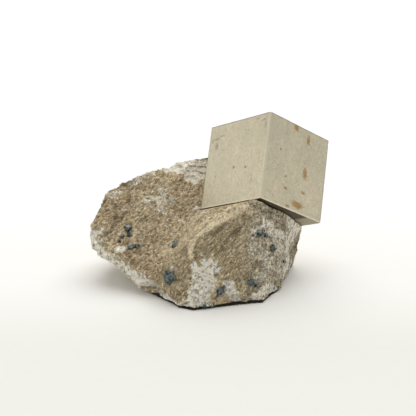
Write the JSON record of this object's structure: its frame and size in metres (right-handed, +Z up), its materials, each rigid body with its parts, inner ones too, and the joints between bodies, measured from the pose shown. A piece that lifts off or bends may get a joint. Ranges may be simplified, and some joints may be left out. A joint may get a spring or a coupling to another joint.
{
  "type": "pyrite specimen",
  "caption": "Natural mineral specimen: a metallic cubic crystal set at an angle in rough broken stone that stands on its flat underside.",
  "frame": {"origin": "middle of the bounding box at the flat underside of the stone", "axes": "+Z up, +X along the specimen's length towards the large crystal, -Y towards the side that shows both upright faces of the large crystal"},
  "size_m": [0.0674, 0.0546, 0.0481],
  "materials": {
    "pyrite": "satin metallic crystal face with fine growth lines, small pits and rust spots",
    "tarnished_pyrite": "dark blue-grey tarnish",
    "marl": "rough matt broken stone with a white mineral crust in places"
  },
  "bodies": {
    "root": {"matrix_rock": "marl", "pyrite_cube": "pyrite", "small_pyrite_1": "tarnished_pyrite", "small_pyrite_2": "tarnished_pyrite", "small_pyrite_3": "tarnished_pyrite", "small_pyrite_4": "tarnished_pyrite", "small_pyrite_5": "tarnished_pyrite", "small_pyrite_6": "tarnished_pyrite", "small_pyrite_7": "tarnished_pyrite", "small_pyrite_8": "tarnished_pyrite", "small_pyrite_9": "tarnished_pyrite", "small_pyrite_10": "tarnished_pyrite", "small_pyrite_11": "tarnished_pyrite"}
  },
  "joints": []
}
